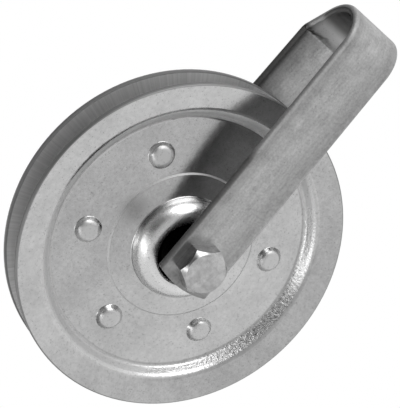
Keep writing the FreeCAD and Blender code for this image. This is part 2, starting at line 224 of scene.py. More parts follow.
@dataclass(frozen=True)
class GalvanisedSheet:
    """Galvanised steel sheet, pressed cold into a sheave half.

    The zinc gives a pale satin grey with a fine mottle and small dark pits. The press leaves the drawn
    wall under the flange matt, scores the struck dome round the axle, and scores the groove's faces with
    streaks towards it. On the side where the part has lain, the wall is rubbed bright, dented and knocked.
    The sheared rim is dull, shade is painted into the hollows and the creases, and a dark patch is painted
    beside the hub.
    Lengths are in millimetres and angles in degrees, from +X to +Z.
    """

    name: str = "galvanised_pressed_sheet"
    pale: str = "#C6C6C6"
    dull: str = "#B2B2B2"
    pit: str = "#686868"
    drawn: str = "#CECECE"
    struck: str = "#DADADA"
    button: str = "#C4C4C4"
    stepped: str = "#BCBCBC"
    streak_pale: str = "#C4C4C4"
    streak_dull: str = "#A8A8A8"
    sheared: str = "#868686"
    # Colour of the painted shade in the hollows and the creases, and of the dark patch beside the hub.
    grime: str = "#3E3D3C"

    roughness: float = 0.2
    roughness_spread: float = 0.06
    wall_roughness: float = 0.6
    lain_roughness: float = 0.26
    knocked_roughness: float = 0.34
    boss_roughness: float = 0.5
    struck_roughness: float = 0.28
    button_roughness: float = 0.25
    top_roughness: float = 0.45
    groove_roughness: float = 0.5
    sheared_roughness: float = 0.5

    # A pixel of the photo is about 0.3 mm wide, so the zinc's mottle and pits, the dents and the
    # scores are drawn coarser than they are, to show.
    mottle: float = 1.3
    pit_size: float = 0.5
    stain: float = 14.0
    dent: float = 0.8
    worn_speck: float = 1.1
    streak: float = 0.7
    ring: float = 0.6
    ring_length: float = 2.0

    # Levels of the noise where a pattern starts and is full, and how much it covers there.
    mottle_range: Span = (0.3, 0.7)
    tone_range: Span = (0.75, 1.25)
    pit_range: Span = (0.58, 0.76)
    streak_range: Span = (0.3, 0.7)
    knock_range: Span = (0.5, 0.6)
    patch_range: Span = (0.3, 0.6)
    pits: float = 0.7
    worn_specks: float = 0.45

    # The depth of the dents and scores, and the share of it on each form.
    dent_depth: float = 0.1
    web_dents: float = 0.15
    wall_dents: float = 1.0
    knocked_dents: float = 2.4
    struck_dents: float = 0.25
    ring_depth: float = 0.5

    # Where the forms lie: slopes, radii, heights in front of the middle, and angles about the axle.
    web_dish: float = 4.0
    web_plane: float = 4.98
    struck_rise: float = 0.7
    struck_fade: float = 0.5
    boss: float = 22.6
    boss_width: float = 0.36
    buttons_from: float = 24.5
    button_top: float = 1.6
    crease_from: float = 38.9
    crease_to: float = 40.5
    wall_foot: float = 39.9
    wall_top: float = 42.2
    flange_flare: float = 10.0
    flange_middle: float = -2.9
    rim: float = 50.4
    rim_fade: float = 0.15
    fade: float = 0.6
    lain_middle: float = -6.0
    lain_reach: float = 78.0
    lain_fade: float = 25.0
    knocked_middle: float = -14.0
    knocked_reach: float = 27.0
    knocked_fade: float = 16.0
    # Middle and reach of the dark patch painted beside the hub.
    smudge: Span = (-20.0, 0.3)
    smudge_reach: float = 6.5

    # Painted shade in the hollows starts where less than the first share of the surround is open and is full
    # at the second; painted shade along the wall's foot and the dark patch beside the hub join it, and
    # patches of the mottle break all of it up.
    grime_reach: float = 1.5
    grime_samples: int = 16
    hollow_range: Span = (0.62, 0.42)
    hollow_grime: float = 0.75
    crease_grime: float = 0.26
    smudge_grime: float = 0.5
    least_patch: float = 0.4

    def material(self) -> bpy.types.Material:
        """Builds the node tree of the sheet.

        Returns:
            The finished material.
        """
        material, add = empty_material(self.name)
        place = add("ShaderNodeTexCoord")["Object"]
        in_plane = add("ShaderNodeVectorMath", {0: place, 1: (1 / MM, 0, 1 / MM)}, operation="MULTIPLY")[0]
        radius = add("ShaderNodeVectorMath", {0: in_plane}, operation="LENGTH")["Value"]
        outward = add("ShaderNodeVectorMath", {0: in_plane}, operation="NORMALIZE")[0]
        mottle, pits, stain, dents, knocks = (
            add("ShaderNodeTexNoise", {"Vector": place, "Scale": per_metre(size), **CLOUDY_NOISE})["Fac"]
            for size in (self.mottle, self.pit_size, self.stain, self.dent, self.worn_speck)
        )
        forms = self.forms(add, place, in_plane, radius)
        forms |= self.wall_sides(add, outward, forms[Form.WALL])
        metal = add(
            "ShaderNodeBsdfPrincipled",
            {
                "Base Color": self.colour(add, forms, mottle, pits, stain, knocks, outward),
                "Metallic": 1.0, "Roughness": self.roughened(add, forms, mottle),
                "Normal": self.dented(add, forms, dents, outward, radius),
            },
        )
        add("ShaderNodeOutputMaterial", {"Surface": metal["BSDF"]})
        return material

    def forms(self, add: Adder, place: Socket, in_plane: Socket, radius: Socket) -> Forms:
        """Tells the forms of the pressing apart by their radius and their height in front of the middle.

        Args:
            add: Adds a node to the tree.
            place: Place on the part, in metres.
            in_plane: Place across the axle, in millimetres.
            radius: Distance from the axle, in millimetres.

        Returns:
            The share of each form, but for the sides of the wall.
        """
        depth = add("ShaderNodeSeparateXYZ", {0: place})["Y"]
        front = add("ShaderNodeMath", {0: depth, 1: -1 / MM}, operation="MULTIPLY")[0]
        off_middle = add("ShaderNodeMath", {0: front}, operation="ABSOLUTE")[0]
        off_web, off_flange = (
            add("ShaderNodeMath", {0: radius, 1: slope, 2: distance}, operation="MULTIPLY_ADD")[0]
            for slope, distance in (
                (math.tan(math.radians(self.web_dish)), front),
                (-math.tan(math.radians(self.flange_flare)), off_middle),
            )
        )
        past_boss = add("ShaderNodeMath", {0: radius, 1: self.boss}, operation="SUBTRACT")[0]
        from_boss = add("ShaderNodeMath", {0: past_boss}, operation="ABSOLUTE")[0]
        from_smudge = add(
            "ShaderNodeVectorMath", {0: in_plane, 1: (self.smudge[0], 0, self.smudge[1])},
            operation="DISTANCE",
        )["Value"]
        struck_foot = self.web_plane + self.struck_rise
        button_top = self.web_plane + self.button_top
        (
            raised, topped, off_boss, past_cone, past_foot, past_top,
            on_crease, off_crease, inside, rim, smudge,
        ) = (
            add(
                "ShaderNodeMapRange",
                {"Value": value, "From Min": start, "From Max": end}, interpolation_type="SMOOTHSTEP",
            )["Result"]
            for value, start, end in (
                (off_web, struck_foot, struck_foot + self.struck_fade),
                (off_web, button_top - self.struck_fade, button_top),
                (from_boss, self.boss_width / 2, self.boss_width),
                (radius, self.buttons_from - self.fade, self.buttons_from + self.fade),
                (radius, self.wall_foot - self.fade, self.wall_foot),
                (radius, self.wall_top, self.wall_top + self.fade),
                (radius, self.crease_from, self.crease_from + self.fade),
                (radius, self.crease_to - self.fade, self.crease_to),
                (off_flange, self.flange_middle, self.flange_middle - self.fade),
                (radius, self.rim - self.rim_fade, self.rim + self.rim_fade),
                (from_smudge, self.smudge_reach, 0.0),
            )
        )
        within, boss = (
            add("ShaderNodeMath", {0: 1.0, 1: outside}, operation="SUBTRACT")[0]
            for outside in (past_foot, off_boss)
        )
        struck = add("ShaderNodeMath", {0: raised, 1: within}, operation="MULTIPLY")[0]
        button = add("ShaderNodeMath", {0: struck, 1: past_cone}, operation="MULTIPLY")[0]
        return {
            form: add("ShaderNodeMath", {0: one, 1: other}, operation=operation)[0]
            for form, one, other, operation in (
                (Form.BUTTON_TOP, button, topped, "MULTIPLY"),
                (Form.WALL, past_foot, past_top, "SUBTRACT"),
                (Form.CREASE, on_crease, off_crease, "SUBTRACT"),
                (Form.GROOVE, inside, past_top, "MULTIPLY"),
            )
        } | {Form.STRUCK: struck, Form.BUTTON: button, Form.BOSS: boss, Form.RIM: rim, Form.SMUDGE: smudge}

    def wall_sides(self, add: Adder, outward: Socket, wall: Socket) -> Forms:
        """Tells the side of the wall where the part has lain from the other one.

        Args:
            add: Adds a node to the tree.
            outward: Direction from the axle, of length one.
            wall: Share of the drawn wall.

        Returns:
            The share of that side and of its knocked middle.
        """
        shares = {}
        for form, middle, reach, fade in (
            (Form.LAIN_WALL, self.lain_middle, self.lain_reach, self.lain_fade),
            (Form.KNOCKED_WALL, self.knocked_middle, self.knocked_reach, self.knocked_fade),
        ):
            turn = math.radians(middle)
            towards = add(
                "ShaderNodeVectorMath", {0: outward, 1: (math.cos(turn), 0, math.sin(turn))},
                operation="DOT_PRODUCT",
            )["Value"]
            start, full = (math.cos(math.radians(angle)) for angle in (reach, reach - fade))
            side = add(
                "ShaderNodeMapRange", {"Value": towards, "From Min": start, "From Max": full},
                interpolation_type="SMOOTHSTEP",
            )["Result"]
            shares[form] = add("ShaderNodeMath", {0: side, 1: wall}, operation="MULTIPLY")[0]
        return shares

    def colour(
        self, add: Adder, forms: Forms, mottle: Socket, pits: Socket, stain: Socket, knocks: Socket,
        outward: Socket,
    ) -> Socket:
        """Mixes the mottled zinc, the finish of each form over it, and the wear, the painted shade and the
        dark patch over that.

        Args:
            add: Adds a node to the tree.
            forms: Share of each form.
            mottle: Fine noise of the zinc.
            pits: Noise whose peaks are pits.
            stain: Broad noise.
            knocks: Noise whose peaks are knocks.
            outward: Direction from the axle, of length one.

        Returns:
            The colour's output socket.
        """
        cloud = add("ShaderNodeMath", {0: mottle, 1: stain}, operation="ADD")[0]
        streaks = add(
            "ShaderNodeTexNoise", {"Vector": outward, "Scale": self.rim / self.streak, **SCRATCHY_NOISE}
        )["Fac"]
        tone, pitted, scored, specks = (
            add(
                "ShaderNodeMapRange", {"Value": value, "From Min": start, "From Max": full, "To Max": most},
                interpolation_type=rise,
            )["Result"]
            for value, (start, full), most, rise in (
                (cloud, self.tone_range, 1.0, "LINEAR"), (pits, self.pit_range, self.pits, "LINEAR"),
                (streaks, self.streak_range, 1.0, "LINEAR"),
                (knocks, self.knock_range, self.worn_specks, "SMOOTHSTEP"),
            )
        )
        knocked = add("ShaderNodeMath", {0: forms[Form.KNOCKED_WALL], 1: specks}, operation="MULTIPLY")[0]
        sheet, streaked = (
            add("ShaderNodeMixRGB", {"Fac": share, "Color1": linear(dark), "Color2": linear(light)})["Color"]
            for share, dark, light in (
                (tone, self.dull, self.pale), (scored, self.streak_dull, self.streak_pale),
            )
        )
        mixed = sheet
        for share, other in (
            (forms[Form.WALL], linear(self.drawn)), (forms[Form.STRUCK], linear(self.struck)),
            (forms[Form.BUTTON], linear(self.button)), (forms[Form.BOSS], linear(self.stepped)),
            (pitted, linear(self.pit)), (forms[Form.GROOVE], streaked),
            (knocked, linear(self.pit)),
            # Painted shade in the hollows and the creases, and the dark patch beside the hub.
            (self.grimed(add, forms, mottle), linear(self.grime)),
            (forms[Form.RIM], linear(self.sheared)),
        ):
            mixed = add("ShaderNodeMixRGB", {"Fac": share, "Color1": mixed, "Color2": other})["Color"]
        return mixed

    def grimed(self, add: Adder, forms: Forms, mottle: Socket) -> Socket:
        """Paints shade into the hollows and the creases, but not on the smooth struck forms, and adds the
        dark patch beside the hub, all broken into patches.

        Args:
            add: Adds a node to the tree.
            forms: Share of each form.
            mottle: Noise that breaks the painted shade and the dark patch up.

        Returns:
            The output socket of the share of painted shade and dark patch.
        """
        # Painted shade from ambient occlusion: darker where the surround closes in.
        open_share = add(
            "ShaderNodeAmbientOcclusion", {"Distance": self.grime_reach * MM},
            samples=self.grime_samples, only_local=True,
        )["AO"]
        hollow, line, smudge, patches = (
            add(
                "ShaderNodeMapRange",
                {"Value": value, "From Min": start, "From Max": full, "To Min": least, "To Max": most},
            )["Result"]
            for value, (start, full), least, most in (
                (open_share, self.hollow_range, 0.0, self.hollow_grime),
                (forms[Form.CREASE], (0.0, 1.0), 0.0, self.crease_grime),
                (forms[Form.SMUDGE], (0.0, 1.0), 0.0, self.smudge_grime),
                (mottle, self.patch_range, self.least_patch, 1.0),
            )
        )
        share = hollow
        for other, operation in (
            (forms[Form.STRUCK], "SUBTRACT"), (line, "MAXIMUM"), (smudge, "MAXIMUM"), (patches, "MULTIPLY"),
        ):
            share = add("ShaderNodeMath", {0: share, 1: other}, operation=operation, use_clamp=True)[0]
        return share

    def roughened(self, add: Adder, forms: Forms, mottle: Socket) -> Socket:
        """Spreads the zinc's roughness with its mottle and gives each form its own.

        Args:
            add: Adds a node to the tree.
            forms: Share of each form.
            mottle: Fine noise of the zinc.

        Returns:
            The roughness's output socket.
        """
        start, full = self.mottle_range
        roughness = add(
            "ShaderNodeMapRange",
            {
                "Value": mottle, "From Min": start, "From Max": full,
                "To Min": self.roughness - self.roughness_spread / 2,
                "To Max": self.roughness + self.roughness_spread / 2,
            },
        )["Result"]
        for form, rough, under in (
            (Form.STRUCK, self.struck_roughness, self.roughness),
            (Form.BUTTON, self.button_roughness, self.struck_roughness),
            (Form.BUTTON_TOP, self.top_roughness, self.button_roughness),
            (Form.BOSS, self.boss_roughness, self.roughness),
            (Form.WALL, self.wall_roughness, self.roughness),
            (Form.LAIN_WALL, self.lain_roughness, self.wall_roughness),
            (Form.KNOCKED_WALL, self.knocked_roughness, self.lain_roughness),
            (Form.GROOVE, self.groove_roughness, self.roughness),
            (Form.RIM, self.sheared_roughness, self.roughness),
        ):
            roughness = add(
                "ShaderNodeMath", {0: forms[form], 1: rough - under, 2: roughness}, operation="MULTIPLY_ADD"
            )[0]
        return roughness

    def dented(self, add: Adder, forms: Forms, dents: Socket, outward: Socket, radius: Socket) -> Socket:
        """Dents the wall where the part has lain, and the web a little, and scores the struck dome.

        Args:
            add: Adds a node to the tree.
            forms: Share of each form.
            dents: Noise of the dents.
            outward: Direction from the axle, of length one.
            radius: Distance from the axle, in millimetres.

        Returns:
            The normal's output socket.
        """
        rung = add("ShaderNodeCombineXYZ", {"Y": radius})[0]
        drawn_round = add(
            "ShaderNodeVectorMath", {0: outward, 1: (self.ring_length,) * 3, 2: rung},
            operation="MULTIPLY_ADD",
        )[0]
        rings = add(
            "ShaderNodeTexNoise", {"Vector": drawn_round, "Scale": 1 / self.ring, **CLOUDY_NOISE}
        )["Fac"]
        depth = self.web_dents
        for form, share, under in (
            (Form.LAIN_WALL, self.wall_dents, self.web_dents),
            (Form.KNOCKED_WALL, self.knocked_dents, self.wall_dents),
            (Form.STRUCK, self.struck_dents, self.web_dents),
            (Form.BUTTON, self.web_dents, self.struck_dents),
        ):
            depth = add(
                "ShaderNodeMath", {0: forms[form], 1: share - under, 2: depth}, operation="MULTIPLY_ADD"
            )[0]
        level = add("ShaderNodeMath", {0: dents, 1: NOISE_MEAN}, operation="SUBTRACT")[0]
        dented = add("ShaderNodeMath", {0: level, 1: depth}, operation="MULTIPLY")[0]
        scored = add("ShaderNodeMath", {0: forms[Form.STRUCK], 1: self.ring_depth}, operation="MULTIPLY")[0]
        height = add("ShaderNodeMath", {0: rings, 1: scored, 2: dented}, operation="MULTIPLY_ADD")[0]
        return add("ShaderNodeBump", {"Distance": self.dent_depth * MM, "Height": height})["Normal"]


@dataclass(frozen=True)
class GalvanisedBar:
    """Galvanised flat bar with round edges, rolled and then bent cold into the fork.

    Rolling leaves faint streaks along the bar, a blotchy zinc with dark specks and patches of oxidation on
    the right half. Bending and handling leave a pale chalky bloom on the front edge, a dark mark across the
    inner face at the kink, and a scuffed shoulder above it. The left edges and the leg's end are painted
    darker, the left edge's round beside the wheel carries a painted dark reflection of the shaded wheel, and
    the loop's hollow carries painted shade. Lengths are in millimetres.
    """

    name: str = "galvanised_rolled_bar"
    pale: str = "#BEBEBE"
    dull: str = "#989898"
    scuffed: str = "#C6C6C6"
    # Colour of the oxidation and the kink's mark, and of the darker edges and end, the painted dark
    # reflection and the painted shade.
    oxide: str = "#373635"

    roughness: float = 0.32
    roughness_spread: float = 0.1
    tip_roughness: float = 0.55

    # Streaks, grain and specks are finer on the real bar, and drawn coarser to show.
    streak: float = 0.9
    streak_length: float = 14.0
    blotch: float = 5.0
    grain: float = 0.7
    grain_depth: float = 0.03
    speck: float = 0.55

    # The streaks' weight, levels of the noise where a pattern starts and is full, and the specks' cover.
    streak_share: float = 0.6
    tone_range: Span = (0.95, 1.65)
    speck_range: Span = (0.6, 0.78)
    patch_range: Span = (0.35, 0.6)
    specks: float = 0.55

    # Distances to the left and right of the bar's middle.
    margin: float = 6.6
    edge: float = 8.6
    front_margin: float = 4.5
    front_edge: float = 8.0
    brink: float = 7.9
    tip: float = 9.1
    bloom_start: float = 8.1
    bloom_end: float = 9.35
    bloom_fade: float = 0.4
    mark_end: float = 3.0

    # Depths and heights along the fork.
    legs_part: float = 2.0
    leg_end: float = -6.5
    leg_end_fade: float = 3.0
    wheel_top: float = 40.0
    wheel_reach: float = 8.0
    kink: float = 72.4
    mark: float = 0.7
    mark_wave: float = 4.0
    shoulder: float = 74.1
    loop: Span = (-5.43, 74.5)
    hollow: float = 9.4
    hollow_skin: float = 0.6
    hollow_foot: float = 75.2
    hollow_full: float = 78.8

    # How much of the zinc is darkened and how much the bloom covers: oxidation patches, a painted dark
    # reflection beside the wheel, painted shade in the loop's hollow, and darker edges and end.
    loop_edge_oxide: float = 0.35
    rear_edge_oxide: float = 0.8
    low_edge_oxide: float = 0.7
    front_oxide: float = 0.27
    leg_end_oxide: float = 0.45
    right_oxide: float = 0.4
    hollow_oxide: float = 0.85
    bloom: float = 0.75

    def material(self) -> bpy.types.Material:
        """Builds the node tree of the bar.

        Returns:
            The finished material.
        """
        material, add = empty_material(self.name)
        place = add("ShaderNodeTexCoord")["Object"]
        along = self.streak / self.streak_length
        stretched = add("ShaderNodeVectorMath", {0: place, 1: (1.0, along, along)}, operation="MULTIPLY")[0]
        streak, blotch, grain, specks = (
            add("ShaderNodeTexNoise", {"Vector": vector, "Scale": per_metre(size), **CLOUDY_NOISE})["Fac"]
            for vector, size in (
                (stretched, self.streak), (place, self.blotch), (place, self.grain), (place, self.speck),
            )
        )
        cloudy = add("ShaderNodeMath", {0: blotch, 1: grain}, operation="ADD")[0]
        cloud = add(
            "ShaderNodeMath", {0: streak, 1: self.streak_share, 2: cloudy}, operation="MULTIPLY_ADD"
        )[0]
        tone, specked = (
            add(
                "ShaderNodeMapRange", {"Value": value, "From Min": start, "From Max": full, "To Max": most}
            )["Result"]
            for value, (start, full), most in (
                (cloud, self.tone_range, 1.0), (specks, self.speck_range, self.specks),
            )
        )
        stretches = self.stretches(add, place, blotch)
        on_shoulder = add(
            "ShaderNodeMath", {0: stretches[Stretch.SHOULDER], 1: stretches[Stretch.REAR]},
            operation="MULTIPLY",
        )[0]
        # Oxidation and the kink's mark, darker edges and end, painted dark reflection beside the wheel and
        # painted shade in the loop's hollow.
        oxidised = self.oxidised(add, stretches, blotch)
        dark = add("ShaderNodeMath", {0: oxidised, 1: specked}, operation="MAXIMUM")[0]
        colour = linear(self.dull)
        for share, other in ((tone, self.pale), (on_shoulder, self.scuffed), (dark, self.oxide)):
            colour = add(
                "ShaderNodeMixRGB", {"Fac": share, "Color1": colour, "Color2": linear(other)}
            )["Color"]
        face_roughness = add(
            "ShaderNodeMapRange",
            {
                "Value": tone,
                "To Min": self.roughness + self.roughness_spread / 2,
                "To Max": self.roughness - self.roughness_spread / 2,
            },
        )["Result"]
        roughness = add(
            "ShaderNodeMath",
            {0: stretches[Stretch.TIP], 1: self.tip_roughness - self.roughness, 2: face_roughness},
            operation="MULTIPLY_ADD",
        )[0]
        normal = add("ShaderNodeBump", {"Distance": self.grain_depth * MM, "Height": grain})["Normal"]
        metal = add(
            "ShaderNodeBsdfPrincipled",
            {
                "Base Color": colour, "Metallic": self.bare(add, stretches), "Roughness": roughness,
                "Normal": normal,
            },
        )
        add("ShaderNodeOutputMaterial", {"Surface": metal["BSDF"]})
        return material

    def stretches(self, add: Adder, place: Socket, blotch: Socket) -> Stretches:
        """Tells the stretches of the bar apart by their place on the fork.

        Args:
            add: Adds a node to the tree.
            place: Place on the part, in metres.
            blotch: Noise that makes the mark at the kink uneven.

        Returns:
            The share of each stretch.
        """
        across, depth, height = add("ShaderNodeSeparateXYZ", {0: place})
        wave = add("ShaderNodeMath", {0: blotch, 1: NOISE_MEAN}, operation="SUBTRACT")[0]
        wavy = add(
            "ShaderNodeMath", {0: wave, 1: self.mark_wave * MM, 2: height}, operation="MULTIPLY_ADD"
        )[0]
        loop = Vector((0, *self.loop)) * MM
        from_loop = add("ShaderNodeVectorMath", {0: place, 1: loop}, operation="SUBTRACT")[0]
        side_view = add("ShaderNodeVectorMath", {0: from_loop, 1: (0, 1, 1)}, operation="MULTIPLY")[0]
        reach = add("ShaderNodeVectorMath", {0: side_view}, operation="LENGTH")["Value"]
        return {
            stretch: add(
                "ShaderNodeMapRange",
                {"Value": value, "From Min": start * MM, "From Max": end * MM},
                interpolation_type="SMOOTHSTEP",
            )["Result"]
            for stretch, value, start, end in (
                (Stretch.REAR, depth, -self.legs_part, self.legs_part),
                (Stretch.LEFT, across, -self.margin, -self.edge),
                (Stretch.FRONT_LEFT, across, -self.front_margin, -self.front_edge),
                (Stretch.TIP, across, -self.brink, -self.tip),
                (Stretch.RIGHT, across, 0.0, self.edge),
                (Stretch.BLOOM, across, -self.bloom_start, -self.bloom_start - self.bloom_fade),
                (Stretch.PAST_BLOOM, across, self.bloom_fade - self.bloom_end, -self.bloom_end),
                (Stretch.END, height, self.leg_end + self.leg_end_fade, self.leg_end),
                (Stretch.LOW, height, self.wheel_top, self.wheel_top - self.wheel_reach),
                (Stretch.HIGH, height, self.wheel_top - self.wheel_reach, self.wheel_top),
                (Stretch.SHOULDER, height, self.kink, self.shoulder),
                (Stretch.ABOVE_MARK, wavy, self.kink - self.mark, self.kink),
                (Stretch.BELOW_MARK, wavy, self.kink + self.mark, self.kink),
                (Stretch.ALONG_MARK, across, self.mark_end, -self.edge),
                (Stretch.INSIDE_LOOP, reach, self.hollow, self.hollow - self.hollow_skin),
                (Stretch.UP_LOOP, height, self.hollow_foot, self.hollow_full),
            )
        }

    def oxidised(self, add: Adder, stretches: Stretches, blotch: Socket) -> Socket:
        """Adds up the darkening: darker edges and end, a painted dark reflection beside the wheel, painted
        shade in the loop's hollow, the mark at the kink and oxidation patches on the right half.

        Args:
            add: Adds a node to the tree.
            stretches: Share of each stretch.
            blotch: Noise that breaks the right half's oxidation into patches.

        Returns:
            The output socket of the darkening's share.
        """
        rear = stretches[Stretch.REAR]
        below_loop = add(
            "ShaderNodeMath",
            {0: stretches[Stretch.SHOULDER], 1: self.loop_edge_oxide / self.rear_edge_oxide - 1, 2: rear},
            operation="MULTIPLY_ADD", use_clamp=True,
        )[0]
        rear_edge, low_edge, front_edge, front_end, hollow, patches = (
            add(
                "ShaderNodeMapRange", {"Value": value, "From Min": start, "From Max": full, "To Max": most}
            )["Result"]
            for value, (start, full), most in (
                # Darker along the rear leg's left edge, less so above the kink.
                (below_loop, (0.0, 1.0), self.rear_edge_oxide),
                # Painted dark reflection of the shaded wheel on the left edge's round beside the wheel.
                (stretches[Stretch.LOW], (0.0, 1.0), self.low_edge_oxide),
                # Darker along the front leg's left margin.
                (rear, (1.0, 0.0), self.front_oxide),
                # Darker at the front of the leg's end.
                (rear, (1.0, 0.0), self.leg_end_oxide),
                # Painted shade in the loop's hollow.
                (stretches[Stretch.UP_LOOP], (0.0, 1.0), self.hollow_oxide),
                (blotch, self.patch_range, self.right_oxide),
            )
        )
        band = add(
            "ShaderNodeMath", {0: stretches[Stretch.ABOVE_MARK], 1: stretches[Stretch.BELOW_MARK]},
            operation="MINIMUM",
        )[0]
        kink = add("ShaderNodeMath", {0: band, 1: rear}, operation="MULTIPLY")[0]
        share = 0.0
        for stretch, oxide in (
            (Stretch.LEFT, rear_edge), (Stretch.TIP, low_edge), (Stretch.FRONT_LEFT, front_edge),
            (Stretch.ALONG_MARK, kink), (Stretch.INSIDE_LOOP, hollow), (Stretch.RIGHT, patches),
            (Stretch.END, front_end),
        ):
            stain = add("ShaderNodeMath", {0: stretches[stretch], 1: oxide}, operation="MULTIPLY")[0]
            share = add("ShaderNodeMath", {0: share, 1: stain}, operation="MAXIMUM")[0]
        return share

    def bare(self, add: Adder, stretches: Stretches) -> Socket:
        """Tells how much of the zinc is bare metal and not under the bloom of the front edge.

        Args:
            add: Adds a node to the tree.
            stretches: Share of each stretch.

        Returns:
            The output socket of the bare share.
        """
        share = add(
            "ShaderNodeMath", {0: stretches[Stretch.BLOOM], 1: stretches[Stretch.PAST_BLOOM]},
            operation="SUBTRACT",
        )[0]
        front = add(
            "ShaderNodeMapRange",
            {"Value": stretches[Stretch.REAR], "From Min": 1.0, "From Max": 0.0, "To Max": self.bloom},
        )["Result"]
        for other in (stretches[Stretch.HIGH], front):
            share = add("ShaderNodeMath", {0: share, 1: other}, operation="MULTIPLY")[0]
        return add("ShaderNodeMath", {0: 1.0, 1: share}, operation="SUBTRACT")[0]


@dataclass(frozen=True)
class ZincPlate:
    """Zinc plated steel, cold headed: bright and smooth, with a faint cloud left by the plating bath.

    Lengths are in millimetres. The grain is drawn coarser than the plating's own, to show.
    """

    name: str = "zinc_plated_fastener"
    pale: str = "#C2C2C2"
    dull: str = "#A2A2A2"
    roughness: float = 0.24
    cloud: float = 2.5
    cloud_range: Span = (0.35, 0.65)
    grain: float = 0.4
    grain_strength: float = 0.1
    grain_depth: float = 0.01

    def material(self) -> bpy.types.Material:
        """Builds the node tree of the plating.

        Returns:
            The finished material.
        """
        material, add = empty_material(self.name)
        place = add("ShaderNodeTexCoord")["Object"]
        cloud, grain = (
            add("ShaderNodeTexNoise", {"Vector": place, "Scale": per_metre(size), **CLOUDY_NOISE})["Fac"]
            for size in (self.cloud, self.grain)
        )
        start, full = self.cloud_range
        tone = add("ShaderNodeMapRange", {"Value": cloud, "From Min": start, "From Max": full})["Result"]
        colour = add(
            "ShaderNodeMixRGB", {"Fac": tone, "Color1": linear(self.dull), "Color2": linear(self.pale)}
        )["Color"]
        normal = add(
            "ShaderNodeBump",
            {"Strength": self.grain_strength, "Distance": self.grain_depth * MM, "Height": grain},
        )["Normal"]
        metal = add(
            "ShaderNodeBsdfPrincipled",
            {"Base Color": colour, "Metallic": 1.0, "Roughness": self.roughness, "Normal": normal},
        )
        add("ShaderNodeOutputMaterial", {"Surface": metal["BSDF"]})
        return material


@dataclass(frozen=True)
class GreasedSteel:
    """Ground bearing steel, coloured near black, with a dull gleam.

    Lengths are in millimetres.
    """

    name: str = "greased_bearing_steel"
    # Near-black colours of the bearing steel.
    grease: str = "#0C0C0B"
    film: str = "#1A1918"
    roughness: float = 0.45
    smear: float = 2.0

    def material(self) -> bpy.types.Material:
        """Builds the node tree of the greased steel.

        Returns:
            The finished material.
        """
        material, add = empty_material(self.name)
        place = add("ShaderNodeTexCoord")["Object"]
        smear = add(
            "ShaderNodeTexNoise", {"Vector": place, "Scale": per_metre(self.smear), **CLOUDY_NOISE}
        )["Fac"]
        colour = add(
            "ShaderNodeMixRGB", {"Fac": smear, "Color1": linear(self.grease), "Color2": linear(self.film)}
        )["Color"]
        metal = add(
            "ShaderNodeBsdfPrincipled", {"Base Color": colour, "Metallic": 1.0, "Roughness": self.roughness}
        )
        add("ShaderNodeOutputMaterial", {"Surface": metal["BSDF"]})
        return material


def dress(nodes: list[str], material: bpy.types.Material) -> None:
    """Gives CAD nodes a material, in place of the plain one they came with.

    Args:
        nodes: Names of the CAD nodes.
        material: Material for their only slot.
    """
    for name in nodes:
        frame["nodes"][name].data.materials[0] = material
        LOG.info("%s wears %s", name, material.name)


@dataclass
class SheaveWheel:
    """Two pressed halves clinched together, which turn on the bearing."""

    halves: tuple[str, ...] = ("front_sheave_half", "rear_sheave_half")
    sheet: GalvanisedSheet = field(default_factory=GalvanisedSheet)

    def build(self) -> None:
        """Dresses both halves in the pressed sheet."""
        dress(list(self.halves), self.sheet.material())


@dataclass
class Bearing:
    """The races and the full row of balls inside the hub."""

    races: tuple[str, ...] = ("outer_race", "inner_race")
    steel: GreasedSteel = field(default_factory=GreasedSteel)

    def build(self) -> None:
        """Dresses the races and every ball of the row in the near-black steel."""
        balls = frame["record"]["behaviour"]["bodies"][Body.BALL_ROW.value]
        dress([*self.races, *balls], self.steel.material())


@dataclass
class Fork:
    """The flat bar bent into a fork."""

    strap: str = "fork_strap"
    bar: GalvanisedBar = field(default_factory=GalvanisedBar)

    def build(self) -> None:
        """Dresses the strap in the rolled bar."""
        dress([self.strap], self.bar.material())


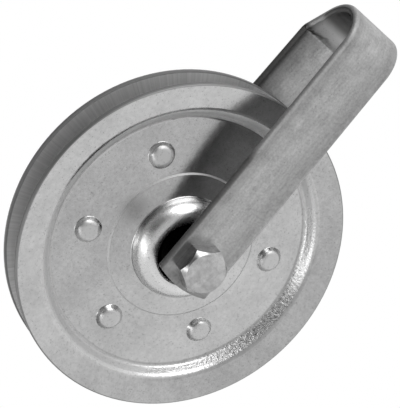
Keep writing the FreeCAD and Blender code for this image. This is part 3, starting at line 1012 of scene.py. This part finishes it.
@dataclass
class Axle:
    """The hexagon bolt with its rolled thread, and the nut behind the rear leg.

    Lengths are in millimetres, angles in degrees, and the thread's depth, crest and root in pitches.
    The head, the seat and the end lie where the frame has them.
    """

    bolt: str = "axle_bolt"
    threaded_bolt: str = "threaded_axle_bolt"
    nut: str = "axle_nut"
    strap: str = "fork_strap"
    plate: ZincPlate = field(default_factory=ZincPlate)
    shank: float = 7.94
    pitch: float = 25.4 / 18
    thread_depth: float = 0.61
    crest: float = 0.125
    root: float = 0.25
    hidden_turns: int = 2
    point: float = 1.0
    chamfer: float = 0.4
    chamfer_slope: float = 52.0
    sides: int = 6
    steps_round: int = 96
    steps_pitch: int = 12
    sharp_angle: float = 20.0

    def hexagon(self, angle: float, flats: float) -> float:
        """Gives the hexagon's radius at an angle about the axle.

        Args:
            angle: Angle in radians, from the middle of a flat.
            flats: Distance across the flats.

        Returns:
            The radius, in the unit of flats.
        """
        side = 2 * math.pi / self.sides
        off_middle = (angle + side / 2) % side - side / 2
        return flats / 2 / math.cos(off_middle)

    def ridge(self, turns: float) -> float:
        """Gives the height of the thread's ridge, from its root at 0 to its crest at 1.

        Args:
            turns: Place along the thread, in pitches.

        Returns:
            The share of the thread's depth.
        """
        off_crest = abs(turns % 1 - 0.5)
        flank = (1 - self.crest - self.root) / 2
        return min(1.0, max(0.0, (0.5 - self.root / 2 - off_crest) / flank))

    def rings(self) -> list[list[Vector]]:
        """Lists the rings of points from the head's top to the bolt's end, in metres.

        Returns:
            Rings of equal length, each run about the axle.
        """
        low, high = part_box(self.bolt)
        top, end = low.y / MM, high.y / MM
        flats = (high.x - low.x) / MM
        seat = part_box(self.strap)[0].y / MM
        nut_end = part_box(self.nut)[1].y / MM
        circle = flats / 2 - self.chamfer
        fall = math.tan(math.radians(self.chamfer_slope))
        radius = self.shank / 2
        angles = [2 * math.pi * step / self.steps_round for step in range(self.steps_round)]
        corners = [self.hexagon(angle, flats) for angle in angles]
        count = len(angles)
        start = nut_end - self.hidden_turns * self.pitch
        profile = [
            ([circle] * count, [top] * count),
            (corners, [top + (corner - circle) * fall for corner in corners]),
            (corners, [seat] * count),
            ([radius] * count, [seat] * count),
            ([radius] * count, [start] * count),
        ]
        steps = round((end - start) / self.pitch * self.steps_pitch)
        for step in range(1, steps + 1):
            place = start + (end - start) * step / steps
            limit = radius - max(0.0, place - (end - self.point))
            fade = min(1.0, (place - start) / self.pitch)
            depth = self.thread_depth * self.pitch * fade
            heights = [self.ridge(place / self.pitch - angle / (2 * math.pi)) for angle in angles]
            profile.append(
                ([min(limit, radius - depth * (1 - height)) for height in heights], [place] * count)
            )
        return [
            [
                Vector((out * math.cos(angle), place, out * math.sin(angle))) * MM
                for out, place, angle in zip(outs, places, angles)
            ]
            for outs, places in profile
        ]

    def skin(self) -> bmesh.types.BMesh:
        """Skins the rings into one closed shape.

        Returns:
            The bolt's shape.
        """
        shape = bmesh.new()
        rings = [[shape.verts.new(point) for point in ring] for ring in self.rings()]
        for near, far in zip(rings, rings[1:]):
            for step in range(self.steps_round):
                after = (step + 1) % self.steps_round
                shape.faces.new((near[step], near[after], far[after], far[step]))
        shape.faces.new(rings[0])
        shape.faces.new(rings[-1])
        bmesh.ops.recalc_face_normals(shape, faces=shape.faces)
        return shape

    def build(self) -> None:
        """Builds the threaded bolt in the plain one's place and dresses it and the nut."""
        plating = self.plate.material()
        dress([self.nut], plating)
        piece = add_piece(self.threaded_bolt, self.skin(), plating)
        mesh = piece.data
        mesh.polygons.foreach_set("use_smooth", [True] * len(mesh.polygons))
        mesh.set_sharp_from_angle(angle=math.radians(self.sharp_angle))
        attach(piece, Body.FORK.value)
        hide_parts(self.bolt)
        LOG.info("%s stands for %s", piece.name, self.bolt)


def showing(add: Adder) -> Socket:
    """Tells the rays that show the background: the camera's, and those off metal or through glass.

    Args:
        add: Adds a node to the tree.

    Returns:
        The output socket, 1 for such a ray and 0 for one that only lights.
    """
    path = add("ShaderNodeLightPath")
    seen = add("ShaderNodeMath", {0: path["Is Camera Ray"], 1: path["Is Glossy Ray"]}, operation="MAXIMUM")[0]
    return add("ShaderNodeMath", {0: seen, 1: path["Is Transmission Ray"]}, operation="MAXIMUM")[0]


@dataclass
class Studio:
    """White tent with soft lamps above and below, and a dark screen to the left of the camera.

    Lengths are in metres and angles in degrees, about the part's origin. Angle 0 of the screen is
    straight in front of the wheel and grows to the right.
    """

    floor_drop: float = 0.45
    floor_reach: float = 30.0
    floor_segments: int = 128
    floor_colour: str = "#EDEDED"
    shadow_reach: float = 0.5
    shadow_end: float = 1.0
    fill: float = 0.85
    lamps: tuple[tuple[str, tuple[float, float, float]], ...] = (
        ("lamp_above", (-0.42, -0.42, 0.8)), ("lamp_below", (-0.48, -0.38, -0.79)),
    )
    lamp_distance: float = 0.7
    lamp_width: float = 0.66
    lamp_height: float = 0.42
    lamp_power: float = 2.0
    screen_colour: str = "#141414"
    screen_distance: float = 1.2
    screen_cover: tuple[Span, ...] = (
        (-250, 0.0), (-225, 0.45), (-150, 0.82), (-90, 0.7), (-72, 0.8), (-56, 0.9),
        (-40, 0.88), (-24, 0.52), (0, 0.38), (16, 0.27), (42, 0.0),
    )
    screen_height: float = 36.0
    screen_height_fade: float = 18.0
    screen_step: float = 3.0

    def world(self) -> None:
        """Makes the white surround, dimmer for the light that it sheds than for what metal shows of it."""
        world = bpy.data.worlds.new("white_tent")
        world.use_nodes = True
        world.node_tree.nodes.clear()
        add = partial(add_node, world.node_tree)
        strength = add(
            "ShaderNodeMapRange", {"Value": showing(add), "To Min": self.fill, "To Max": 1.0}
        )["Result"]
        tent = add("ShaderNodeBackground", {"Color": linear(WHITE), "Strength": strength})
        add("ShaderNodeOutputWorld", {"Surface": tent["Background"]})
        bpy.context.scene.world = world

    def floor(self) -> None:
        """Lays the pale floor, which keeps the shadow near the part and runs out to white."""
        material, add = empty_material("pale_paper_floor")
        place = add("ShaderNodeTexCoord")["Object"]
        far = add("ShaderNodeVectorMath", {0: place}, operation="LENGTH")["Value"]
        run_out = add(
            "ShaderNodeMapRange",
            {"Value": far, "From Min": self.shadow_reach, "From Max": self.shadow_end},
            interpolation_type="SMOOTHSTEP",
        )["Result"]
        white = add("ShaderNodeMath", {0: run_out, 1: showing(add)}, operation="MULTIPLY")[0]
        paper = add("ShaderNodeBsdfDiffuse", {"Color": linear(self.floor_colour)})
        glow = add("ShaderNodeEmission", {"Color": linear(WHITE), "Strength": 1.0})
        surface = add("ShaderNodeMixShader", {0: white, 1: paper["BSDF"], 2: glow["Emission"]})
        add("ShaderNodeOutputMaterial", {"Surface": surface["Shader"]})
        shape = bmesh.new()
        bmesh.ops.create_circle(shape, cap_ends=True, segments=self.floor_segments, radius=self.floor_reach)
        floor = add_piece("floor", shape, material)
        floor.location.z = cad_box[0].z - self.floor_drop

    def gauze(self) -> bpy.types.Material:
        """Makes the screen's cloth, as thick as the mesh's cover says.

        Returns:
            The finished material.
        """
        material, add = empty_material("dark_gauze")
        cover = add("ShaderNodeAttribute", attribute_name="cover")["Fac"]
        gap = add("ShaderNodeBsdfTransparent")
        cloth = add("ShaderNodeBsdfDiffuse", {"Color": linear(self.screen_colour)})
        surface = add("ShaderNodeMixShader", {0: cover, 1: gap["BSDF"], 2: cloth["BSDF"]})
        add("ShaderNodeOutputMaterial", {"Surface": surface["Shader"]})
        return material

    def screen(self) -> None:
        """Hangs the dark screen, seen only in reflections and thinned out towards its edges."""
        shape = bmesh.new()
        covers = []
        rows = []
        rises = range(round(2 * self.screen_height / self.screen_step) + 1)
        for height in (self.screen_height - self.screen_step * rise for rise in rises):
            edge = min(1.0, (self.screen_height - abs(height)) / self.screen_height_fade)
            eased = edge * edge * (3 - 2 * edge)
            columns = []
            for (turn_a, cover_a), (turn_b, cover_b) in zip(self.screen_cover, self.screen_cover[1:]):
                steps = round((turn_b - turn_a) / self.screen_step)
                for step in range(steps):
                    share = step / steps
                    angle = math.radians(turn_a + (turn_b - turn_a) * share)
                    across = Vector((math.sin(angle), -math.cos(angle), math.tan(math.radians(height))))
                    columns.append(shape.verts.new(across * self.screen_distance))
                    covers.append((cover_a + (cover_b - cover_a) * share) * eased)
            rows.append(columns)
        for low, high in zip(rows, rows[1:]):
            for near, far in zip(zip(low, low[1:]), zip(high, high[1:])):
                shape.faces.new((*near, far[1], far[0]))
        screen = add_piece("dark_screen", shape, self.gauze())
        screen.data.attributes.new("cover", "FLOAT", "POINT").data.foreach_set("value", covers)
        screen.visible_camera = False
        screen.visible_diffuse = False
        screen.visible_shadow = False

    def lamp(self, name: str, towards: Vector) -> None:
        """Hangs one soft wide lamp that looks at the part.

        Args:
            name: Name of the lamp.
            towards: Direction of the lamp from the part.
        """
        light = bpy.data.lights.new(name, "AREA")
        light.shape = "RECTANGLE"
        light.size = self.lamp_width
        light.size_y = self.lamp_height
        light.energy = self.lamp_power
        lamp = bpy.data.objects.new(name, light)
        away = towards.normalized()
        lamp.location = away * self.lamp_distance
        lamp.rotation_euler = away.to_track_quat("Z", "Y").to_euler()
        lamp.visible_camera = False
        bpy.context.scene.collection.objects.link(lamp)

    def build(self) -> None:
        """Sets the surround, the floor, the screen and the lamps."""
        self.world()
        self.floor()
        self.screen()
        for name, towards in self.lamps:
            self.lamp(name, Vector(towards))
        LOG.info("studio set")


@dataclass
class PhotoCamera:
    """The photograph's camera: a long lens near the wheel's height, rolled with the picture.

    Angles are in degrees and lengths in millimetres. Azimuth 0 looks along +Y.
    """

    aim: tuple[float, float, float] = (-2.12, 0.0, 12.65)
    distance: float = 494.7
    azimuth: float = -31.55
    elevation: float = 4.15
    roll: float = 40.16
    focal_pixels: float = 1688.0
    sensor: float = 36.0
    nearest: float = 10.0

    def build(self) -> None:
        """Places the camera and makes it the scene's own."""
        turn, rise, roll = (math.radians(angle) for angle in (self.azimuth, self.elevation, self.roll))
        back = Vector((math.sin(turn) * math.cos(rise), -math.cos(turn) * math.cos(rise), math.sin(rise)))
        level = Vector((math.cos(turn), math.sin(turn), 0))
        upright = back.cross(level)
        right = level * math.cos(roll) + upright * math.sin(roll)
        up = back.cross(right)
        data = bpy.data.cameras.new("photo_camera")
        data.sensor_width = self.sensor
        data.lens = self.focal_pixels * self.sensor / max(IMAGE_WIDTH, IMAGE_HEIGHT)
        data.clip_start = self.nearest * MM
        camera = bpy.data.objects.new("photo_camera", data)
        bpy.context.scene.collection.objects.link(camera)
        camera.matrix_world = Matrix.Translation((Vector(self.aim) + back * self.distance) * MM) @ Matrix(
            (right, up, back)
        ).transposed().to_4x4()
        bpy.context.scene.camera = camera
        LOG.info("camera set")


def main() -> None:
    """Builds the pieces in order and reports each one."""
    for assembly in (SheaveWheel(), Bearing(), Fork(), Axle(), Studio(), PhotoCamera()):
        assembly.build()
    bpy.context.scene.view_settings.view_transform = "Standard"


if __name__ == "__main__":
    logging.basicConfig(level=logging.INFO, format="%(name)s: %(message)s")
    main()
